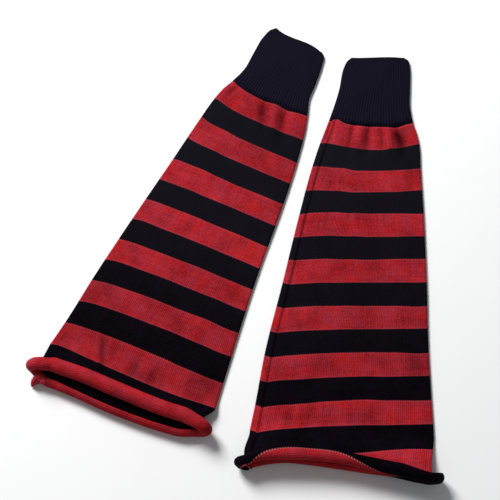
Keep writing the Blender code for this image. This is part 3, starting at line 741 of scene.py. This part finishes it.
def make_leg(warmer, finishes):
    """Flared leg in stripes: fine columns of stitches outside, the wrong side within."""
    cloth, share = leg_rows()
    tube = tube_grid(warmer, cloth, share, WALES_ACROSS, len(COLUMN))
    covered = tube.across < warmer.covered
    tube = tube._replace(cloth=np.where(covered, np.minimum(tube.cloth, LAST_BLACK), tube.cloth))
    near, seam_relief = seam_line(warmer, tube, cloth, share)
    relief = raised(tube, COLUMN, STITCH_RELIEF) + seam_relief
    vertices, faces, attributes, inside = wall_mesh(tube, relief, len(COLUMN), False)
    # Painted shade on the front: dark in folds and creases, broadly where the light falls off, and in
    # the seam's groove
    dark = creasing(warmer.shades, tube.cloth, tube.across) * (1 - tube.under)
    shaded = np.zeros(len(vertices))
    shaded[:near.size] = np.maximum(near * SEAM_SHADE, dark).ravel()
    attributes.append(("shade", shaded))
    piece = add_piece(warmer.name + "_striped_leg", vertices, faces, finishes, warmer,
                      attributes, inside)
    places = np.linspace(-1, 1, HEM_SAMPLES)
    end = float(np.mean(curve(warmer.hem, "across", "front_cloth", places)))
    width = max(widest(warmer, CUFF_LENGTH, LAST_SECTION),
                2 * (warmer.right_tip - warmer.left_tip) * METRES)
    area = cut_area(warmer, CUFF_LENGTH, LAST_SECTION) + (end - LAST_SECTION) * METRES * width
    declare(piece, warmer, "_leg", width, area)


def roll_turn(radius, length):
    """Angle turned when a spiral that starts at this radius has taken up a length of cloth."""
    tighten = ROLL_PITCH / (2 * math.pi)
    return (radius - np.sqrt(radius * radius - 2 * tighten * length)) / tighten


def curl_column(warmer, column, across, under):
    """Read the hem's table all the way round the mouth, from the front's value to the back's."""
    front = curve(warmer.hem, "across", "front_" + column, across)
    back = curve(warmer.hem, "across", "back_" + column, across)
    return front + (back - front) * under


def roll_lean(tube):
    """The way from the mouth to the roll's centre, evened out along it but not round its folds."""
    flat_out = tube.out[-1] * np.array([1.0, 0.0, 1.0])
    nearby = [np.roll(flat_out, step, axis=0) for step in range(-ROLL_EVENING, ROLL_EVENING + 1)]
    folding = ease_between(np.abs(tube.across[-1]), *FOLD_ZONE)[:, None]
    flat_out = np.mean(nearby, axis=0) * (1 - folding) + flat_out * folding
    return flat_out / np.linalg.norm(flat_out, axis=1)[:, None]


def loop_faces(count, size):
    """Quads between closed loops of size points, where the last loop meets the first again."""
    i, k = np.meshgrid(np.arange(count), np.arange(size), indexing="ij")
    j, n = (i + 1) % count, (k + 1) % size
    faces = np.stack([j * size + k, j * size + n, i * size + n, i * size + k], axis=2)
    return faces.reshape(-1, 4).tolist()


def make_hem_roll(warmer, finishes):
    """Curled hem: the cloth turns outward and winds into a spiral, wrong side out."""
    cloth = np.array([LAST_SECTION] * 2)
    tube = tube_grid(warmer, cloth, np.array(HEM_START), WALES_ACROSS, len(COLUMN))
    used = curl_column(warmer, "cloth", tube.across[-1], tube.under[-1])
    radius = curl_column(warmer, "radius", tube.across[-1], tube.under[-1])
    out = roll_lean(tube)
    length = np.minimum(CLOTH_LENGTH - used, (1 - CORE) * math.pi * radius ** 2 / ROLL_PITCH)
    steps = int(round(np.max(length) / STITCH_HEIGHT)) * ROLL_ROWS_A_COURSE
    taken = length[:, None] * np.linspace(0.0, 1.0, steps + 1)[None]
    turn = roll_turn(radius[:, None], taken)
    towards_hem = np.array([0.0, -1.0, 0.0])
    spoke = -np.cos(turn)[:, :, None] * out[:, None] + np.sin(turn)[:, :, None] * towards_hem
    reach = radius[:, None] - ROLL_PITCH / (2 * math.pi) * turn
    centre = (tube.points[-1] + out * radius[:, None])[:, None]
    ridge = COURSE_RELIEF * (np.arange(steps + 1) % ROLL_ROWS_A_COURSE)[None]
    outside = centre + spoke * (reach + WALL / 2 + ridge - COURSE_RELIEF)[:, :, None]
    within = (centre + spoke * (reach - WALL / 2)[:, :, None])[:, ::-1]
    loops = np.concatenate([outside, within], axis=1)
    count, size = loops.shape[:2]
    course = used[:, None] + np.concatenate([taken, taken[:, ::-1]], axis=1) / warmer.roll_stretch
    wale = np.repeat(tube.wale[-1][:, None], size, axis=1)
    piece = add_piece(warmer.name + "_curled_hem", loops.reshape(-1, 3), loop_faces(count, size),
                      finishes, warmer, (("course", course), ("wale", wale)))
    width = 2 * (warmer.right_tip - warmer.left_tip) * METRES
    declare(piece, warmer, "_hem_roll", width,
            width * float(np.mean(length)) * METRES)


def swept(knots, rows, sides):
    """A closed round strand along some places, with rounded ends and a few plies wound round it."""
    at = np.linspace(0.0, len(knots) - 1.0, rows)
    whole = np.arange(len(knots))
    path = np.stack([np.interp(at, whole, [getattr(knot, key) for knot in knots])
                     for key in ("x", "along", "z", "radius")], axis=1)
    path[1:-1] = (path[:-2] + 2 * path[1:-1] + path[2:]) / 4
    middle = path[:, :3] * np.array([1.0, -1.0, 1.0])
    onward = np.gradient(middle, axis=0)
    onward /= np.linalg.norm(onward, axis=1)[:, None]
    sideways = np.cross(onward, np.array([0.0, 0.0, 1.0]))
    sideways /= np.linalg.norm(sideways, axis=1)[:, None]
    upward = np.cross(sideways, onward)
    share = np.linspace(0.0, 1.0, rows)
    dome = np.sqrt(np.clip(fading(2 * share - 1, STRAND_END_POWER), 0.0, 1.0))
    angle = np.arange(sides) / sides * 2 * math.pi
    plies = PLIES * angle[None] + PLY_TURNS * 2 * math.pi * share[:, None]
    girth = (path[:, 3] * dome)[:, None] * (1 - PLY_RELIEF * (1 - np.cos(plies)))
    body = middle[:, None] + sideways[:, None] * (girth * np.sin(angle))[:, :, None]
    body = body + upward[:, None] * (girth * np.cos(angle))[:, :, None]
    body[:, :, 2] = np.maximum(body[:, :, 2], ROLL_CLEARANCE)
    faces = quad_faces(rows, sides, 0, True)
    faces.append(tuple(range(sides)))
    faces.append(tuple(range((rows - 1) * sides, rows * sides))[::-1])
    return body.reshape(-1, 3), faces


def make_seam_end(warmer, finish):
    """Gathered and fastened-off end of the side seam, where it comes out of the curled hem."""
    body, faces = swept(warmer.gather, *SEAM_END_MESH)
    piece = add_piece(warmer.name + "_yarn_end", body, faces, (finish,), warmer)
    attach(piece, "root")
    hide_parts(warmer.name + "_seam_tail")


def make_loose_threads(warmer, finish):
    """Short ends of seaming yarn that lie on the hem."""
    for number, knots in enumerate(warmer.threads):
        body, faces = swept(knots, *THREAD_MESH)
        name = f"{warmer.name}_loose_thread_{number + 1}"
        piece = add_piece(name, body, faces, (finish,), warmer)
        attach(piece, "root")


class Signal:
    """An output of a node, with arithmetic written as plain expressions."""

    def __init__(self, finish, socket):
        self.finish, self.socket = finish, socket

    def math(self, operation, *others):
        """Take this signal, and any other values, through a Math node."""
        inputs = dict(enumerate((self, *others)))
        return self.finish.node("ShaderNodeMath", {"operation": operation}, inputs)

    def __add__(self, other):
        return self.math("ADD", other)

    __radd__ = __add__

    def __mul__(self, other):
        return self.math("MULTIPLY", other)

    __rmul__ = __mul__

    def __sub__(self, other):
        return self.math("SUBTRACT", other)

    def __rsub__(self, other):
        return (self * -1.0) + other

    def __truediv__(self, other):
        return self.math("DIVIDE", other)

    def __abs__(self):
        return self.math("ABSOLUTE")

    def __mod__(self, other):
        return self.math("FLOORED_MODULO", other)

    def __lt__(self, other):
        return self.math("LESS_THAN", other)

    def __gt__(self, other):
        return self.math("GREATER_THAN", other)

    def sine(self):
        return self.math("SINE")

    def clamped(self):
        """Kept between 0 and 1."""
        return self.math("MINIMUM", 1.0).math("MAXIMUM", 0.0)

    def contrasted(self, contrast):
        """Spread a noise round its middle, kept between 0 and 1."""
        return ((self - 0.5) * contrast + 0.5).clamped()


class Finish:
    """A procedural material built round one Principled shader."""

    def __init__(self, name, roughness=YARN_ROUGHNESS, specular=YARN_SPECULAR):
        self.material = bpy.data.materials.new(name)
        self.material.use_nodes = True
        self.tree = self.material.node_tree
        self.shader = self.tree.nodes["Principled BSDF"]
        self.shader.inputs["Roughness"].default_value = roughness
        self.shader.inputs["Specular IOR Level"].default_value = specular

    def node(self, kind, settings, inputs, output=0):
        """Add a node: its settings first, then the values or links of its sockets."""
        node = self.tree.nodes.new(kind)
        for key, value in settings.items():
            setattr(node, key, value)
        for key, value in inputs.items():
            self.feed(node.inputs[key], value)
        return Signal(self, node.outputs[output])

    def feed(self, socket, value):
        """Link a signal to a socket, or set a plain value on it."""
        if isinstance(value, Signal):
            self.tree.links.new(value.socket, socket)
        elif isinstance(value, tuple) and len(value) == 3 and socket.type == "RGBA":
            socket.default_value = (*value, 1.0)
        else:
            socket.default_value = value

    def attribute(self, name):
        """A value that the mesh carries at its points."""
        return self.node("ShaderNodeAttribute", {"attribute_name": name}, {}, "Fac")

    def mix(self, share, first, second):
        """Blend two colours."""
        return self.node("ShaderNodeMix", {"data_type": "RGBA"}, {0: share, 6: first, 7: second}, 2)

    def noise(self, scale, detail=2.0):
        """Noise through space, of this many steps to the metre."""
        place = self.node("ShaderNodeTexCoord", {}, {}, "Object")
        return self.node("ShaderNodeTexNoise", {},
                         {"Vector": place, "Scale": scale, "Detail": detail})

    def drift(self, across, along):
        """Noise that runs with the knitting, by column of stitches and by length along the cloth."""
        place = self.node("ShaderNodeCombineXYZ", {}, {"X": across, "Y": along})
        return self.node("ShaderNodeTexNoise", {},
                         {"Vector": place, "Scale": 1.0, "Detail": 2.0})

    def bump(self, height, distance):
        """Raise the surface by a height from 0 to 1 over a distance in millimetres."""
        normal = self.node("ShaderNodeBump", {}, {
            "Strength": 1.0, "Distance": distance * METRES, "Height": height})
        self.feed(self.shader.inputs["Normal"], normal)

    def colour(self, signal):
        """Give the finish its colour."""
        self.feed(self.shader.inputs["Base Color"], signal)


def yarn_light(finish, course, wale, height, stitch):
    """How light the yarn looks from loop to loop: painted shade between its loops by the stitch's
    shape, its fluff and uneven dye.
    """
    fluff = finish.noise(FLUFF_SCALE, FINE_DETAIL)
    streak = finish.drift(wale * STREAK[0], course * STREAK[1])
    band = finish.drift(wale * BAND[0], course * BAND[1])
    dye = finish.noise(DYE_SCALE, FINE_DETAIL)
    uneven = (fluff - 0.5) * FLUFF_SHARE + (dye - 0.5) * DYE_SHARE
    uneven = uneven + (streak - 0.5) * stitch.streaks + (band - 0.5) * stitch.streaks
    return (height * stitch.relief + uneven + (MIDDLE_LIGHT - stitch.relief * 0.5)).clamped()


def black_yarn(finish, light, course, sheen_colour=BLACK_SHEEN):
    """Black yarn of uneven dye, greyed by painted sheen towards the cuff."""
    sheen = (course * SHEEN_FALL[0] + SHEEN_FALL[1]).clamped()
    scale, contrast = BLACK_TINT
    bright = finish.mix(finish.noise(scale).contrasted(contrast), BLACK_LIGHT, BLACK_PLUM)
    return finish.mix(sheen * SHEEN_SHARE, finish.mix(light, BLACK_DEEP, bright), sheen_colour)


def striped_yarn(finish, black, light, course):
    """Black or red by the band, with painted shade between the loops, lighter on them."""
    scale, contrast = RED_TINT
    bright = finish.mix(finish.noise(scale).contrasted(contrast), RED_LIGHT, RED_WARM)
    red = finish.mix(light, RED_DEEP, bright)
    return finish.mix(black, red, black_yarn(finish, light, course))


def knit_face():
    """Right side of the knitting: columns of V-shaped stitches, in stripes by rows."""
    finish = Finish("striped_knit_face")
    course, wale = finish.attribute("course"), finish.attribute("wale")
    side = abs(wale % 1.0 - 0.5)
    row = (course - CUFF_LENGTH) / STITCH_HEIGHT - side * KNIT.lean
    band_row = row % (2.0 * ROWS_A_STRIPE)
    black = band_row > ROWS_A_STRIPE
    crest = 1.0 - (side * math.pi).sine()
    loop = abs((row * math.pi).sine())
    height = crest * KNIT.crest + loop * KNIT.loop
    light = yarn_light(finish, course, wale, height, KNIT)
    last_row = (band_row > ROWS_A_STRIPE - EDGE_ROWS) * (band_row < ROWS_A_STRIPE)
    edge_row = (band_row < EDGE_ROWS) + last_row
    plain = striped_yarn(finish, black, light, course)
    edged = finish.mix(edge_row * EDGE_SHARE, plain, RED_PINK)
    # Painted shade from the mesh's shade attribute takes the colour towards near-black
    finish.colour(finish.mix(finish.attribute("shade"), edged, BLACK_DEEP))
    finish.bump(height, STITCH_BUMP)
    return finish.material


def purl_face():
    """Wrong side of the knitting: rows of small loops, with dashes where red turns to black."""
    finish = Finish("striped_knit_wrong_side")
    course, wale = finish.attribute("course"), finish.attribute("wale")
    row = (course - CUFF_LENGTH) / STITCH_HEIGHT
    band_row = row % (2.0 * ROWS_A_STRIPE)
    black = band_row > ROWS_A_STRIPE
    loop = abs((row * math.pi).sine())
    bead = abs((wale * math.pi).sine())
    height = loop * (bead * PURL.crest + PURL.loop)
    light = yarn_light(finish, course, wale, height, PURL) * PURL_SHADE
    dashed = (wale * DASH_PACE) % 1.0 < DASH_LENGTH
    dash = (abs(band_row - ROWS_A_STRIPE) < DASH_ROWS) * dashed
    plain = striped_yarn(finish, black, light, course)
    finish.colour(finish.mix(dash * DASH_SHARE, plain, DASH_PINK))
    finish.bump(height, STITCH_BUMP)
    return finish.material


def rib_face():
    """Black ribbing of the cuff."""
    finish = Finish("black_ribbing")
    course, wale = finish.attribute("course"), finish.attribute("wale")
    side = abs(wale % 1.0 - 0.5)
    row = course / STITCH_HEIGHT - side * RIBBED.lean
    loop = abs((row * math.pi).sine())
    crest = 1.0 - side * 2.0
    height = crest * RIBBED.crest + loop * RIBBED.loop
    light = yarn_light(finish, course, wale, height, RIBBED)
    finish.colour(black_yarn(finish, light, course, RIB_SHEEN))
    finish.bump(loop * crest, STITCH_BUMP)
    return finish.material


def seam_yarn(name, deep, light):
    """Yarn that closes the side seam."""
    finish = Finish(name)
    scale, contrast = SEAM_TINT
    fluff = finish.noise(scale, FINE_DETAIL)
    finish.colour(finish.mix(fluff.contrasted(contrast), deep, light))
    finish.bump(fluff, SEAM_BUMP)
    return finish.material


def table_finish():
    """Plain pale table."""
    finish = Finish("pale_table", TABLE_ROUGHNESS, TABLE_SPECULAR)
    finish.colour(finish.mix(finish.noise(TABLE_MOTTLE), *TABLE_SHADES))
    return finish.material


def make_table():
    """Plain pale table top under the pair."""
    half = TABLE_HALF
    mesh = bpy.data.meshes.new("table")
    corners = [(-half, -half, 0.0), (half, -half, 0.0), (half, half, 0.0), (-half, half, 0.0)]
    mesh.from_pydata(corners, [], [(0, 1, 2, 3)])
    mesh.materials.append(table_finish())
    table = bpy.data.objects.new("table", mesh)
    bpy.context.scene.collection.objects.link(table)


def add_light(name, place, size, watts):
    """Square soft light aimed at the middle of the pair."""
    lamp = bpy.data.lights.new(name, "AREA")
    lamp.shape = "SQUARE"
    lamp.size = size
    lamp.energy = watts
    holder = bpy.data.objects.new(name, lamp)
    holder.location = place
    reach = math.hypot(place[0], place[1])
    holder.rotation_euler = (math.atan2(reach, place[2]), 0.0, math.atan2(place[0], -place[1]))
    bpy.context.scene.collection.objects.link(holder)


def light_scene():
    """Soft light from the upper left, beyond the cuffs, with a dim even surround."""
    add_light("window", WINDOW_PLACE, WINDOW_SIZE, WINDOW_WATTS)
    world = bpy.data.worlds.new("surround")
    world.use_nodes = True
    background = world.node_tree.nodes["Background"]
    background.inputs["Color"].default_value = (*SURROUND, 1.0)
    background.inputs["Strength"].default_value = SURROUND_STRENGTH
    bpy.context.scene.world = world
    bpy.context.scene.view_settings.view_transform = "Standard"


def make_camera():
    """Camera that looks down at the middle of the pair from beyond its hems."""
    elevation = math.radians(CAMERA_ELEVATION)
    lens = bpy.data.cameras.new("camera")
    lens.sensor_width = SENSOR
    lens.lens = LENS
    camera = bpy.data.objects.new("camera", lens)
    camera.location = (AIM[0], AIM[1] - CAMERA_DISTANCE * math.cos(elevation),
                       AIM[2] + CAMERA_DISTANCE * math.sin(elevation))
    camera.rotation_euler = (math.pi / 2 - elevation, 0.0, 0.0)
    bpy.context.scene.collection.objects.link(camera)
    bpy.context.scene.camera = camera


def main():
    """Make the pair, its table, light and camera."""
    make_camera()
    light_scene()
    make_table()
    knit, purl, rib = knit_face(), purl_face(), rib_face()
    red_end = seam_yarn("red_seam_yarn", RED_DEEP, RED_END_PAINTED_LIGHT)
    black_end = seam_yarn("black_seam_yarn", BLACK_DEEP, BLACK_LIGHT)
    thread = seam_yarn("loose_seam_yarn", RED_DEEP, THREAD_PINK)
    for warmer, end in ((LEFT, red_end), (RIGHT, black_end)):
        make_cuff(warmer, (rib, rib))
        make_leg(warmer, (knit, purl))
        make_hem_roll(warmer, (purl,))
        make_seam_end(warmer, end)
        make_loose_threads(warmer, thread)


main()
